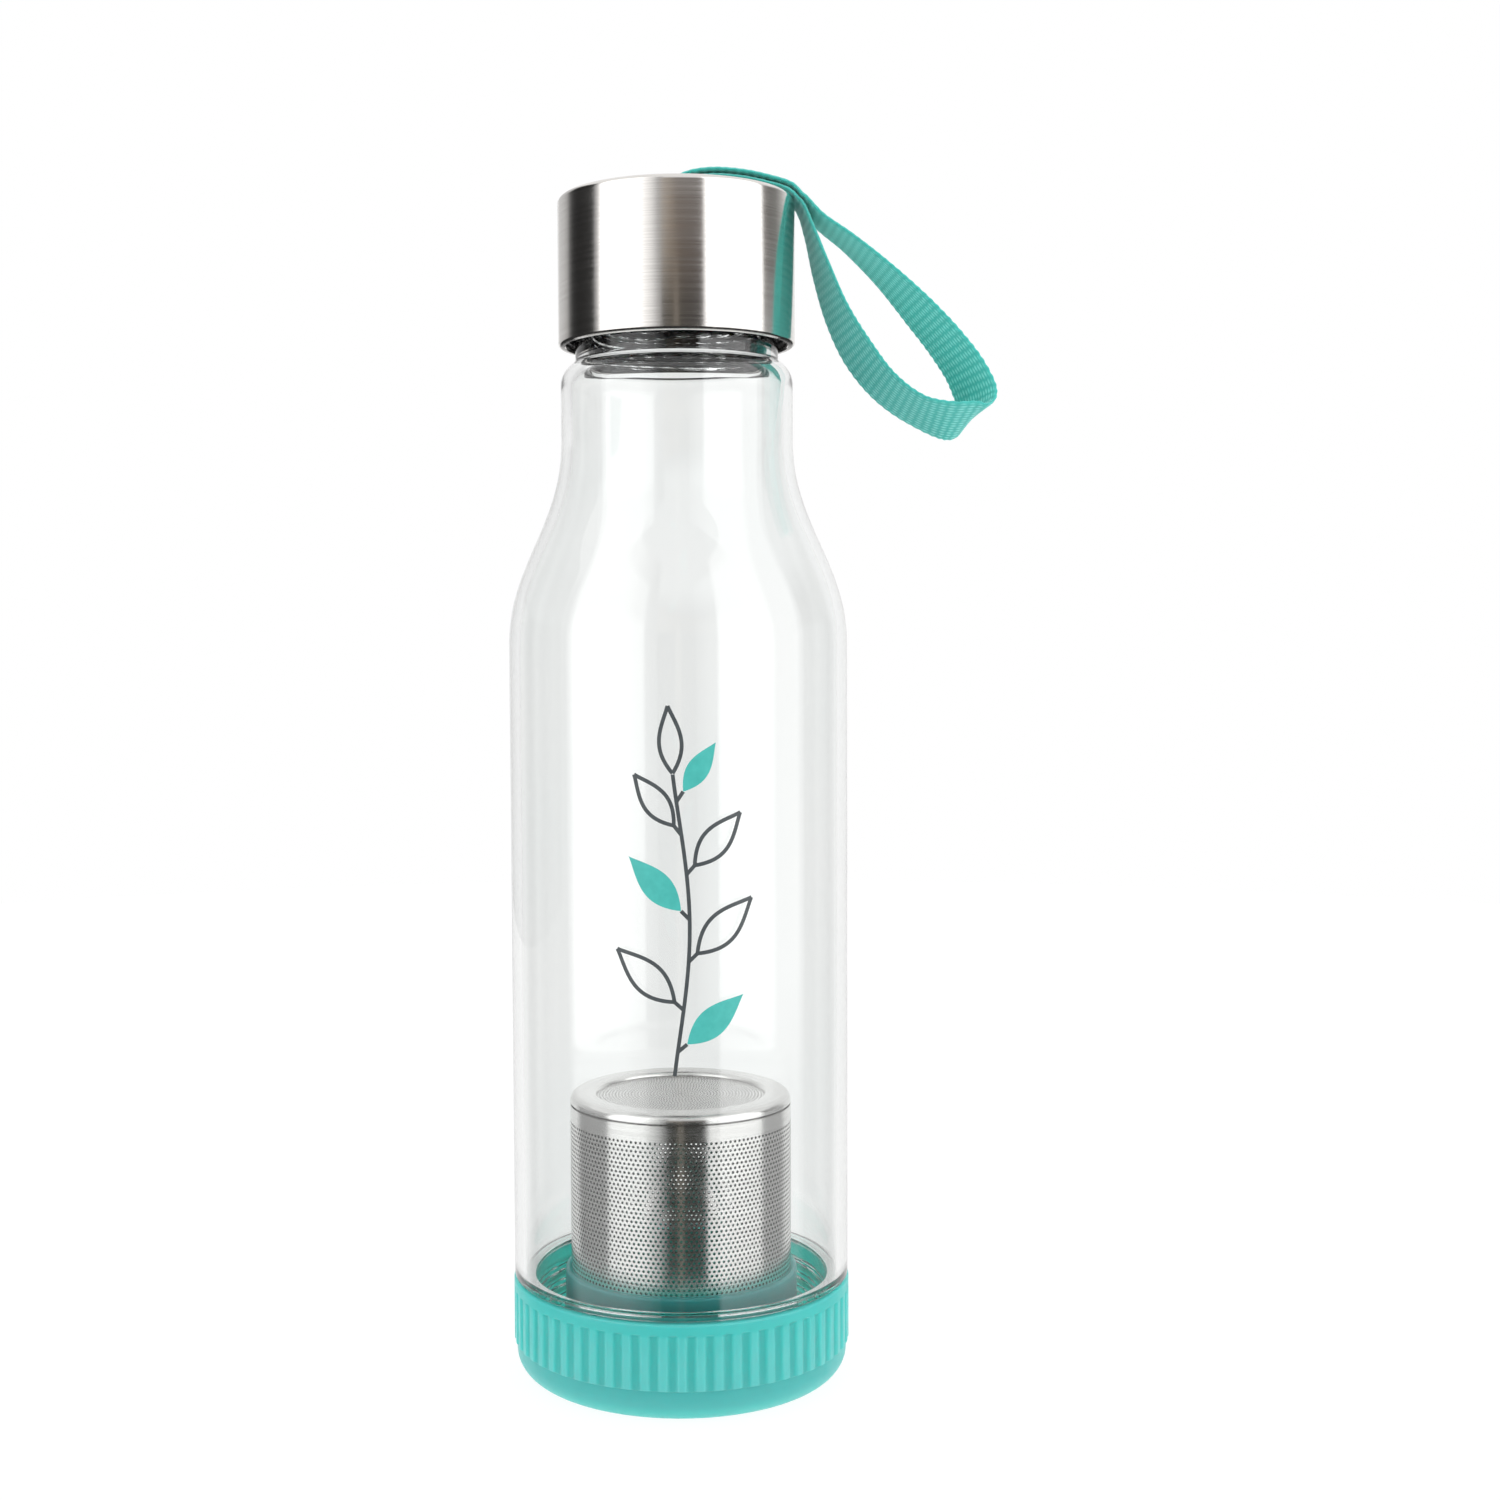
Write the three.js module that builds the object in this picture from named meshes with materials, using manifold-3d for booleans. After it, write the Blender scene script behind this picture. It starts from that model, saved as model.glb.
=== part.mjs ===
// Tea infuser bottle: a clear two-necked body, a steel screw cap with a webbing carry strap,
// and a screw base that carries a steel leaf strainer. Millimetres, +Z up, origin under the base.

import * as THREE from 'three';
import { mergeVertices } from 'three/addons/utils/BufferGeometryUtils.js';
import Module from 'manifold-3d';

const wasm = await Module();
wasm.setup();

// Clearances
const seatGap = 0.3; // between pieces that rest against each other
const threadRoom = 1.1; // radial room for the thread ridges of a screwed neck
const slotRoom = 0.4; // round the strap where it passes the cap

// Screw base
const baseProud = 0.15; // how far the base stands out from the bottle's wall
const baseHeight = 18.8;
const baseWall = 1.65;
const baseFloor = 2.8;
const baseCorner = 4.6; // round of the lower edge
const baseLip = 0.5; // round of the upper edge
const footRecess = 0.8; // hollow under the middle of the base
const footWidth = 4.2; // flat ring that the bottle stands on
const seatHeight = 17.6; // ring that takes the strainer, above the floor
const seatWall = 0.8;
const gripCount = 60;
const gripGrooveWidth = 1.5;
const gripGrooveDepth = 0.4;
const gripFootInset = 0.1; // how far the band under the grip lies inside the floor of its grooves
const gripAboveCorner = 1.8;
const gripBelowLip = 1.7;
const baseGasketHeight = 1.8;
const baseGasketInset = 0.6; // how far the gasket reaches inside the neck it seals

// Leaf strainer
const strainerRadius = 21.5;
const strainerHeight = 51.3;
const strainerWall = 0.5;
const strainerRimCorner = 1.5;
const strainerRimSkirt = 0.3; // upright edge under the rounded rim
const strainerRimFlat = 3.8; // flat ring between the rounded rim and the round opening
const strainerSpigot = 3.2; // sleeve of the end ring inside the wall
const perforationRadius = 1.1;
const perforationRows = 6;
const perforationAboveSeat = 1.7; // plain band between the ring of the base and the lowest holes
const perforationBelowRim = 3.9; // plain band between the highest holes and the end ring
const sieveThickness = 0.4;

// Bottle
const bodyRadius = 32.5;
const bodyWall = 2;
const bodyStraight = 121.9;
const bodyFootRound = 0.8;
const shoulderHeight = 38.5;
const shoulderPull = 15.5; // length of the shoulder curve's end tangents
const collarInset = 0.4; // how far the straight part under the cap lies inside the cap's wall
const collarHeight = 10.8;
const crownRadius = 5;
const neckRadius = 19.4;
const neckWall = 2.2;
const neckHeight = 18.9; // from the top of the collar to the rim
const lowerNeckWall = 1.5;
const ledgeThickness = 1; // inner ledge over the lower neck
const ledgeFillet = 1.1;
const ledgeRound = 0.8;

// Cap
const capHeight = 27.8;
const capSkirtDrop = 11.4; // how far the cap reaches below the bottle's rim
const capSheet = 0.6;
const capInnerCorner = 0.6;
const capLip = 0.8; // rolled-in lower edge
const linerWall = 1.2;
const linerDisc = 2;
const capGasketHeight = 1.7;
const capGasketInset = 0.8;

// Carry strap
const strapWidth = 12;
const strapThickness = 0.8;
const strapLayerGap = 0.4; // between the two stacked layers
const strapPinRadius = 1.2;
const strapPinReach = 3; // how far the pin runs past each edge of the strap
const strapRootProud = 0.6;
const strapKnuckle = 1.2; // round end of the loop at the slot

// Facets
const roundSteps = 48;
const capSteps = 40;
const cornerSteps = 3;
const shoulderSteps = 8;
const pinSteps = 16;
const holeSteps = 4;
const strapStations = 76;
const weldTolerance = 1e-4;

// Sizes that follow from those above
const baseRadius = bodyRadius + baseProud;
const baseInner = baseRadius - baseWall;
const gripLow = baseCorner + gripAboveCorner;
const gripHigh = baseHeight - baseLip - gripBelowLip;
const lowerNeckOuter = baseInner - threadRoom;
const lowerNeckInner = lowerNeckOuter - lowerNeckWall;
const lowerNeckEnd = baseFloor + baseGasketHeight + 2 * seatGap;
const bodyFoot = baseHeight + seatGap;
const bodyInner = bodyRadius - bodyWall;
const rimZ = bodyFoot + bodyStraight + shoulderHeight + collarHeight + neckHeight;
const neckInner = neckRadius - neckWall;
const capBottom = rimZ - capSkirtDrop;
const linerInner = neckRadius + threadRoom;
const linerOuter = linerInner + linerWall;
const capInner = linerOuter + seatGap;
const capRadius = capInner + capSheet;
const capCorner = capInnerCorner + capSheet;
const collarRadius = capRadius - collarInset;
const linerDiscZ = capSkirtDrop + capGasketHeight + 2 * seatGap;
const wallInner = strainerRadius - strainerWall;
const strapStack = 2 * strapThickness + strapLayerGap;
const strapEye = strapPinRadius + seatGap;
const strapBulge = strapEye + strapThickness;
const strapPinZ = capHeight - capSheet - strapBulge;
const strapHingeZ = capHeight + strapRootProud + seatGap + strapKnuckle;

const steel = { color: 0xb9bcbd, roughness: 0.28, metalness: 1 };
const clearPlastic = { color: 0xe9efee, roughness: 0.06, metalness: 0, transparent: true, opacity: 0.3 };
const turquoisePlastic = { color: 0x55c3b9, roughness: 0.42, metalness: 0 };
const darkPlastic = { color: 0x2b2d2f, roughness: 0.4, metalness: 0 };
const silicone = { color: 0xeef0ee, roughness: 0.7, metalness: 0 };
const webbing = { color: 0x3cae9c, roughness: 0.85, metalness: 0 };

const point = (r, z) => new THREE.Vector2(r, z);

function arc(centreR, centreZ, radius, fromDeg, toDeg) {
  const from = THREE.MathUtils.degToRad(fromDeg);
  const to = THREE.MathUtils.degToRad(toDeg);
  const curve = new THREE.EllipseCurve(centreR, centreZ, radius, radius, from, to, toDeg < fromDeg);
  return curve.getPoints(cornerSteps);
}

// Keeps only positions, joins shared corners and drops the slivers left on the axis.
function closed(geometry) {
  geometry.deleteAttribute('normal');
  geometry.deleteAttribute('uv');
  const merged = mergeVertices(geometry, weldTolerance);
  const corners = merged.index.array;
  const kept = [];
  for (let i = 0; i < corners.length; i += 3) {
    const [a, b, c] = corners.slice(i, i + 3);
    if (a !== b && b !== c && a !== c) kept.push(a, b, c);
  }
  merged.setIndex(kept);
  return merged;
}

// Turns a profile, drawn counter-clockwise as radius and height, about Z.
function revolve(profile, steps) {
  const ring = new THREE.LatheGeometry([...profile, profile[0]], steps);
  ring.rotateX(Math.PI / 2);
  return closed(ring);
}

function toSolid(geometry) {
  const vertProperties = new Float32Array(geometry.attributes.position.array);
  const triVerts = new Uint32Array(geometry.index.array);
  return new wasm.Manifold(new wasm.Mesh({ numProp: 3, vertProperties, triVerts }));
}

function fromSolid(solid) {
  const mesh = solid.getMesh();
  const geometry = new THREE.BufferGeometry();
  geometry.setAttribute('position', new THREE.BufferAttribute(mesh.vertProperties, 3));
  geometry.setIndex(new THREE.BufferAttribute(mesh.triVerts, 1));
  return geometry;
}

function piece(name, geometry, finish) {
  geometry.computeVertexNormals();
  const mesh = new THREE.Mesh(geometry, new THREE.MeshStandardMaterial(finish));
  mesh.name = name;
  return mesh;
}

// Flat ring with a square section.
function flatRing(inner, outer, low, high, steps) {
  return revolve([point(inner, low), point(outer, low), point(outer, high), point(inner, high)], steps);
}

// The shoulder runs out of the straight wall and into the collar with upright tangents.
function shoulder(low, high, lowRadius, highRadius) {
  const curve = new THREE.CubicBezierCurve(
    point(lowRadius, low),
    point(lowRadius, low + shoulderPull),
    point(highRadius, high - shoulderPull),
    point(highRadius, high),
  );
  return curve.getPoints(shoulderSteps);
}

// Angle on the crown's round at which it reaches a given radius.
function crownAngle(centre, radius, reach) {
  return THREE.MathUtils.radToDeg(Math.acos((reach - centre) / radius));
}

function makeBottle() {
  const shoulderLow = bodyFoot + bodyStraight;
  const shoulderHigh = shoulderLow + shoulderHeight;
  const crownZ = shoulderHigh + collarHeight;
  const crownCentre = collarRadius - crownRadius;
  const crownInner = crownRadius - bodyWall;
  const ledge = bodyFoot + ledgeThickness;
  const outer = shoulder(shoulderLow, shoulderHigh, bodyRadius, collarRadius);
  const inner = shoulder(shoulderLow, shoulderHigh, bodyInner, collarRadius - bodyWall).reverse();
  const profile = [
    point(lowerNeckInner, lowerNeckEnd),
    point(lowerNeckOuter, lowerNeckEnd),
    point(lowerNeckOuter, bodyFoot),
    ...arc(bodyRadius - bodyFootRound, bodyFoot + bodyFootRound, bodyFootRound, -90, 0),
    ...outer,
    ...arc(crownCentre, crownZ, crownRadius, 0, crownAngle(crownCentre, crownRadius, neckRadius)),
    point(neckRadius, rimZ),
    point(neckInner, rimZ),
    ...arc(crownCentre, crownZ, crownInner, crownAngle(crownCentre, crownInner, neckInner), 0),
    ...inner,
    ...arc(bodyInner - ledgeFillet, ledge + ledgeFillet, ledgeFillet, 0, -90),
    ...arc(lowerNeckInner + ledgeRound, ledge - ledgeRound, ledgeRound, 90, 180),
  ];
  return piece('bottle_body', revolve(profile, roundSteps), clearPlastic);
}

// The grip is a row of upright grooves, one in the middle of each facet, that run out at the band below.
function cutGrip(blank) {
  const reach = 2 * gripGrooveDepth;
  const height = gripHigh - gripLow + reach;
  let solid = toSolid(blank);
  for (let i = 0; i < gripCount; i += 1) {
    const groove = new THREE.BoxGeometry(reach, gripGrooveWidth, height);
    groove.translate(baseRadius - gripGrooveDepth + reach / 2, 0, gripHigh - height / 2);
    groove.rotateZ(((i + 0.5) * 2 * Math.PI) / gripCount);
    solid = solid.subtract(toSolid(closed(groove)));
  }
  return fromSolid(solid);
}

function makeBase() {
  const group = new THREE.Group();
  const seatInner = strainerRadius + seatGap;
  const seatOuter = seatInner + seatWall;
  const seatTop = baseFloor + seatHeight;
  const footOuter = baseRadius - gripGrooveDepth - gripFootInset - baseCorner;
  const footInner = footOuter - footWidth;
  const profile = [
    point(0, footRecess),
    point(footInner - footRecess, footRecess),
    point(footInner, 0),
    ...arc(footOuter, baseCorner, baseCorner, -90, 0),
    point(footOuter + baseCorner, gripLow),
    point(baseRadius, gripLow),
    ...arc(baseRadius - baseLip, baseHeight - baseLip, baseLip, 0, 90),
    point(baseInner, baseHeight),
    point(baseInner, baseFloor),
    point(seatOuter, baseFloor),
    point(seatOuter, seatTop),
    point(seatInner, seatTop),
    point(seatInner, baseFloor),
    point(0, baseFloor),
  ];
  group.add(piece('base_cap', cutGrip(revolve(profile, gripCount)), turquoisePlastic));

  const gasketLow = baseFloor + seatGap;
  const gasket = flatRing(
    lowerNeckInner - baseGasketInset,
    baseInner - seatGap,
    gasketLow,
    gasketLow + baseGasketHeight,
    capSteps,
  );
  group.add(piece('base_gasket', gasket, silicone));
  group.add(makeStrainer());
  return group;
}

// Rows of holes, each row shifted by one facet, so that every hole lies in the middle of a facet.
function perforate(tube, low, high) {
  const columns = roundSteps / 2;
  const pitch = (high - low) / (perforationRows - 1);
  let solid = toSolid(tube);
  for (let row = 0; row < perforationRows; row += 1) {
    for (let column = 0; column < columns; column += 1) {
      const hole = new THREE.CylinderGeometry(perforationRadius, perforationRadius, strainerRadius, holeSteps);
      hole.rotateZ(Math.PI / 2);
      hole.translate(strainerRadius, 0, low + row * pitch);
      hole.rotateZ(((2 * column + (row % 2) + 0.5) * 2 * Math.PI) / roundSteps);
      solid = solid.subtract(toSolid(closed(hole)));
    }
  }
  return fromSolid(solid);
}

// The strainer stands in the ring of the base: wall, pressed end ring and the sieve disc under it.
function makeStrainer() {
  const group = new THREE.Group();
  group.position.z = baseFloor + seatGap;
  const rimLow = strainerHeight - strainerRimCorner - strainerRimSkirt;
  const spigotOuter = wallInner - seatGap;
  const spigotInner = spigotOuter - strainerWall;
  const spigotLow = rimLow - strainerSpigot;
  const roofLow = strainerHeight - strainerWall;
  const opening = strainerRadius - strainerRimCorner - strainerRimFlat;
  const ring = [
    point(spigotInner, spigotLow),
    point(spigotOuter, spigotLow),
    point(spigotOuter, rimLow),
    point(strainerRadius, rimLow),
    ...arc(strainerRadius - strainerRimCorner, strainerHeight - strainerRimCorner, strainerRimCorner, 0, 90),
    point(opening, strainerHeight),
    point(opening, roofLow),
    point(spigotInner, roofLow),
  ];
  const sieveTop = roofLow - seatGap;
  const sieve = [
    point(0, sieveTop - sieveThickness),
    point(spigotInner - seatGap, sieveTop - sieveThickness),
    point(spigotInner - seatGap, sieveTop),
    point(0, sieveTop),
  ];
  const tube = flatRing(wallInner, strainerRadius, 0, rimLow - seatGap, roundSteps);
  const lowest = seatHeight - seatGap + perforationAboveSeat;
  const highest = rimLow - perforationBelowRim;
  group.add(piece('strainer_wall', perforate(tube, lowest, highest), steel));
  group.add(piece('strainer_end_ring', revolve(ring, roundSteps), steel));
  group.add(piece('strainer_sieve', revolve(sieve, capSteps), steel));
  return group;
}

function makeShell() {
  const lipInner = capInner - capLip;
  const profile = [
    point(lipInner, 0),
    ...arc(capInner, capSheet, capSheet, -90, 0),
    ...arc(capRadius - capCorner, capHeight - capCorner, capCorner, 0, 90),
    point(0, capHeight),
    point(0, capHeight - capSheet),
    ...arc(capInner - capInnerCorner, capHeight - capCorner, capInnerCorner, 90, 0),
    point(capInner, capSheet),
    point(lipInner, capSheet),
  ];
  const slotHalf = strapStack / 2 + slotRoom;
  const slotReach = strapWidth / 2 + slotRoom - slotHalf;
  const outline = new THREE.Shape();
  outline.absarc(0, slotReach, slotHalf, 0, Math.PI, false);
  outline.absarc(0, -slotReach, slotHalf, Math.PI, 2 * Math.PI, false);
  const slot = new THREE.ExtrudeGeometry(outline, {
    depth: 3 * capSheet,
    bevelEnabled: false,
    curveSegments: cornerSteps,
  });
  slot.translate(0, 0, capHeight - 2 * capSheet);
  const shell = toSolid(revolve(profile, capSteps)).subtract(toSolid(closed(slot)));
  return piece('cap_shell', fromSolid(shell), steel);
}

function makeLiner() {
  const linerTop = linerDiscZ + linerDisc;
  const profile = [
    point(linerInner, capSheet + seatGap),
    point(linerOuter, capSheet + seatGap),
    point(linerOuter, linerTop),
    point(0, linerTop),
    point(0, linerDiscZ),
    point(linerInner, linerDiscZ),
  ];
  return piece('cap_liner', revolve(profile, capSteps), darkPlastic);
}

// The strap's two ends wrap a cross pin under the slot and come out through it side by side.
function makeStrapRoot() {
  const half = strapStack / 2;
  const tilt = Math.asin(half / strapBulge);
  const outline = new THREE.Shape();
  outline.moveTo(half, capHeight + strapRootProud);
  outline.lineTo(-half, capHeight + strapRootProud);
  outline.absarc(0, strapPinZ, strapBulge, Math.PI / 2 + tilt, 5 * Math.PI / 2 - tilt, false);
  outline.closePath();
  const hole = new THREE.Path();
  hole.absarc(0, strapPinZ, strapEye, 0, 2 * Math.PI, true);
  outline.holes.push(hole);
  const root = new THREE.ExtrudeGeometry(outline, {
    depth: strapWidth,
    bevelEnabled: false,
    curveSegments: pinSteps,
  });
  root.rotateX(Math.PI / 2);
  root.translate(0, strapWidth / 2, 0);
  return piece('strap_root', closed(root), webbing);
}

function makeStrapPin() {
  const length = strapWidth + 2 * strapPinReach;
  const pin = new THREE.CylinderGeometry(strapPinRadius, strapPinRadius, length, pinSteps);
  pin.translate(0, 0, strapPinZ);
  return piece('strap_pin', closed(pin), steel);
}

// Middle of the stacked layers, from the slot to the rim: x and z from the hinge, then from the rim.
const stackFromHinge = [[0, 0], [2.2, 1.3], [6.4, 2.0]];
const stackFromRim = [[-10.6, 3.8], [-5.6, 2.8], [-1.0, 1.3], [1.4, -0.9]];

// The free loop past the rim, from the rim: x, y, z, then the lean of the width across x and z.
const loopFromRim = [
  [4.9, 0, -4.0, -0.03, -0.03],
  [10.2, 0.2, -8.0, -0.07, -0.07],
  [17.3, 0.4, -14.3, -0.16, -0.15],
  [24.1, 0.7, -21.4, -0.27, -0.26],
  [29.4, 1.1, -27.5, -0.36, -0.28],
  [33.2, 1.5, -32.9, -0.45, -0.27],
  [35.1, 1.5, -37.9, -0.52, -0.3],
  [34.0, -0.2, -41.3, -0.52, -0.5],
  [29.8, -1.9, -42.2, -0.22, -0.5],
  [23.8, -1.7, -40.4, -0.17, -0.34],
  [17.4, -1.0, -35.8, -0.27, -0.27],
  [12.2, -0.3, -29.2, -0.34, -0.22],
  [8.2, 0, -21.8, -0.28, -0.14],
  [5.2, 0, -13.6, -0.18, -0.08],
  [2.8, 0, -5.9, -0.05, -0.02],
];

// One band: out along the upper layer, round the loop and back along the lower layer.
function strapRoute() {
  const stack = [
    ...stackFromHinge.map(([x, z]) => new THREE.Vector3(x, 0, strapHingeZ + z)),
    ...stackFromRim.map(([x, z]) => new THREE.Vector3(capRadius + x, 0, capHeight + z)),
  ];
  const middle = new THREE.CatmullRomCurve3(stack);
  const offset = (strapThickness + strapLayerGap) / 2;
  const upper = [];
  const lower = [];
  stack.forEach((place, i) => {
    const along = middle.getTangent(i / (stack.length - 1));
    const across = new THREE.Vector3(-along.z, 0, along.x).multiplyScalar(offset);
    upper.push(place.clone().add(across));
    lower.unshift(place.clone().sub(across));
  });
  const loop = loopFromRim.map(([x, y, z]) => new THREE.Vector3(capRadius + x, y, capHeight + z));
  const leans = loopFromRim.map(([, , , x, z]) => new THREE.Vector3(x, Math.sqrt(1 - x * x - z * z), z));
  const level = stack.map(() => new THREE.Vector3(0, 1, 0));
  return {
    path: new THREE.CatmullRomCurve3([...upper, ...loop, ...lower]),
    widths: new THREE.CatmullRomCurve3([...level, ...leans, ...level]),
  };
}

// Sweeps the band's flat section along the route, leaning its width as the route asks.
function sweepBand({ path, widths }) {
  const corners = [[-1, -1], [1, -1], [1, 1], [-1, 1]];
  const positions = [];
  const faces = [];
  for (let i = 0; i <= strapStations; i += 1) {
    const place = path.getPoint(i / strapStations);
    const along = path.getTangent(i / strapStations);
    const across = widths.getPoint(i / strapStations);
    across.addScaledVector(along, -across.dot(along)).normalize();
    const out = new THREE.Vector3().crossVectors(along, across);
    for (const [side, face] of corners) {
      const corner = place.clone();
      corner.addScaledVector(across, (side * strapWidth) / 2);
      corner.addScaledVector(out, (face * strapThickness) / 2);
      positions.push(...corner.toArray());
    }
  }
  const row = corners.length;
  for (let i = 0; i < strapStations; i += 1) {
    for (let j = 0; j < row; j += 1) {
      const next = (j + 1) % row;
      const a = i * row + j;
      const b = i * row + next;
      faces.push(a, b, b + row, a, b + row, a + row);
    }
  }
  const end = strapStations * row;
  faces.push(0, 2, 1, 0, 3, 2, end, end + 1, end + 2, end, end + 2, end + 3);
  const band = new THREE.BufferGeometry();
  band.setAttribute('position', new THREE.Float32BufferAttribute(positions, 3));
  band.setIndex(faces);
  return band;
}

function makeStrapLoop() {
  const knuckle = new THREE.CylinderGeometry(strapKnuckle, strapKnuckle, strapWidth, pinSteps);
  knuckle.translate(0, 0, strapHingeZ);
  const loop = toSolid(sweepBand(strapRoute())).add(toSolid(closed(knuckle)));
  return piece('carry_strap', fromSolid(loop), webbing);
}

function makeCap() {
  const group = new THREE.Group();
  group.position.z = capBottom;
  const gasketLow = capSkirtDrop + seatGap;
  const gasket = flatRing(
    neckInner - capGasketInset,
    linerInner - seatGap,
    gasketLow,
    gasketLow + capGasketHeight,
    capSteps,
  );
  group.add(makeShell());
  group.add(makeLiner());
  group.add(piece('cap_gasket', gasket, silicone));
  group.add(makeStrapPin());
  group.add(makeStrapRoot());
  group.add(makeStrapLoop());
  return group;
}

const teaInfuserBottle = new THREE.Group();
teaInfuserBottle.add(makeBottle());
teaInfuserBottle.add(makeBase());
teaInfuserBottle.add(makeCap());

export default teaInfuserBottle;
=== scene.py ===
import bpy
import bmesh
import math
from mathutils import Matrix, Vector


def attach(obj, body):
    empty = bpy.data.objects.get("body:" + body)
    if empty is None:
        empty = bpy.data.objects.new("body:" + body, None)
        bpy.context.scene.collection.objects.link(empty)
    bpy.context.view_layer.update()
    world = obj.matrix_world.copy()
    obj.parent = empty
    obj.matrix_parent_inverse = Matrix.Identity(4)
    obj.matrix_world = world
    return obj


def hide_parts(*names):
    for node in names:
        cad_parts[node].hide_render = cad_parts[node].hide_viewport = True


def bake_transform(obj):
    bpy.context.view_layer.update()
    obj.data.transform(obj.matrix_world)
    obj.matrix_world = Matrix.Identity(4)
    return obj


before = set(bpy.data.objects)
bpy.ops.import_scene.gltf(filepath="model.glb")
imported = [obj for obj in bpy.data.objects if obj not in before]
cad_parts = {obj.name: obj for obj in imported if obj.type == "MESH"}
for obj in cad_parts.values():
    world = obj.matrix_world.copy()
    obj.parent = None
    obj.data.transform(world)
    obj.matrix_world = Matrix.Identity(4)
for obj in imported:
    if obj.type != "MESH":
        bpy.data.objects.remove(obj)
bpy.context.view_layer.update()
scene = bpy.context.scene
mm = 0.001
tau = 2 * math.pi
tiny = 1e-6  # closer than this counts as the same place
print("frame loaded:", len(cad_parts), "solids")


# helpers for meshes, all sizes in millimetres until the points are written

def arcRows(centreR, centreZ, radius, fromDeg, toDeg, steps):
    rows = []
    for i in range(steps + 1):
        angle = math.radians(fromDeg + (toDeg - fromDeg) * i / steps)
        rows.append((centreR + radius * math.cos(angle), centreZ + radius * math.sin(angle)))
    return rows


def lineRows(start, end, steps):
    return [tuple(a + (b - a) * i / steps for a, b in zip(start, end)) for i in range(steps + 1)]


def bezierRows(a, b, c, d, steps):
    rows = []
    for i in range(steps + 1):
        t = i / steps
        u = 1 - t
        w = (u ** 3, 3 * u * u * t, 3 * u * t * t, t ** 3)
        rows.append(tuple(sum(k * p[j] for k, p in zip(w, (a, b, c, d))) for j in (0, 1)))
    return rows


def smoothStep(low, high, value):
    t = min(1.0, max(0.0, (value - low) / (high - low)))
    return t * t * (3 - 2 * t)


# adds a point by its distance from Z, its angle and its height, and gives its number
def addPolar(verts, radius, angle, z):
    verts.append((radius * math.cos(angle), radius * math.sin(angle), z))
    return len(verts) - 1


# quads between two closed rows of point numbers
def bandFaces(row, other):
    count = len(row)
    return [(row[k], row[(k + 1) % count], other[(k + 1) % count], other[k]) for k in range(count)]


def placed(name, data, material=None):
    if material:
        data.materials.append(material)
    piece = bpy.data.objects.new(name, data)
    scene.collection.objects.link(piece)
    return piece


def smoothed(mesh, sharpDeg):
    mesh.shade_smooth()
    mesh.set_sharp_from_angle(angle=math.radians(sharpDeg))


def meshObject(name, verts, faces, material, sharpDeg=35):
    mesh = bpy.data.meshes.new(name)
    mesh.from_pydata([(x * mm, y * mm, z * mm) for x, y, z in verts], [], faces)
    mesh.validate()
    smoothed(mesh, sharpDeg)
    return placed(name, mesh, material)


def meshFrom(name, shape):
    mesh = bpy.data.meshes.new(name)
    shape.to_mesh(mesh)
    shape.free()
    return mesh


# gives every point or face a value that a finish can read
def paint(piece, name, values, domain="POINT"):
    piece.data.attributes.new(name, "FLOAT", domain).data.foreach_set("value", values)


# turns a closed profile about Z; reshape may move the radius of single points
def turned(name, profile, steps, material, reshape=None, sharpDeg=35):
    verts, faces, rings = [], [], []
    for r, z in profile:
        if r < tiny:
            rings.append([addPolar(verts, 0, 0, z)] * steps)
            continue
        ring = []
        for k in range(steps):
            angle = tau * k / steps
            ring.append(addPolar(verts, reshape(angle, r, z) if reshape else r, angle, z))
        rings.append(ring)
    for ring, after in zip(rings, rings[1:] + rings[:1]):
        for quad in bandFaces(ring, after):
            corners = list(dict.fromkeys(quad))
            if len(corners) > 2:
                faces.append(corners)
    return meshObject(name, verts, faces, material, sharpDeg)


# height of a helical ridge at an angle and height, faded out at both ends of its run
def ridgeHeight(thread, angle, z):
    low, high, fadeRun = thread["low"], thread["high"], thread["fade"]
    if not low < z < high:
        return 0.0
    pitch = thread["lead"] / thread["starts"]
    turn = (z - thread["lead"] * angle / tau - thread["phase"] * pitch) / pitch
    away = abs(turn - round(turn)) * pitch
    side = 1 - smoothStep(thread["crest"] / 2, thread["crest"] / 2 + thread["flank"], away)
    fade = smoothStep(low, low + fadeRun, z) * (1 - smoothStep(high - fadeRun, high, z))
    return thread["height"] * side * fade


def onBody(piece, body, node):
    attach(piece, body)
    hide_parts(node)


# helpers for finishes

def splitXyz(tree, source):
    node = tree.nodes.new("ShaderNodeSeparateXYZ")
    tree.links.new(source, node.inputs[0])
    return node.outputs


def mapRange(tree, source, fromLow, fromHigh, low=0.0, high=1.0):
    node = tree.nodes.new("ShaderNodeMapRange")
    for socket, value in (("From Min", fromLow), ("From Max", fromHigh), ("To Min", low), ("To Max", high)):
        node.inputs[socket].default_value = value
    tree.links.new(source, node.inputs["Value"])
    return node.outputs["Result"]


# colour ramp of (place, colour) stops; a single number stands for a grey
def colourRamp(tree, source, stops):
    node = tree.nodes.new("ShaderNodeValToRGB")
    elements = node.color_ramp.elements
    while len(elements) < len(stops):
        elements.new(0.5)
    for element, (place, colour) in zip(elements, stops):
        element.position = place
        element.color = (colour, colour, colour, 1) if isinstance(colour, float) else (*colour, 1)
    tree.links.new(source, node.inputs["Fac"])
    return node.outputs["Color"]


# mixes two colours; factor and colours are sockets or plain values
def mixColours(tree, factor, a, b, blend="MIX"):
    node = tree.nodes.new("ShaderNodeMix")
    node.data_type = "RGBA"
    node.blend_type = blend
    for socket, value in (("Factor", factor), ("A", a), ("B", b)):
        if isinstance(value, bpy.types.NodeSocket):
            tree.links.new(value, node.inputs[socket])
        else:
            node.inputs[socket].default_value = value
    return node.outputs["Result"]


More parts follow.
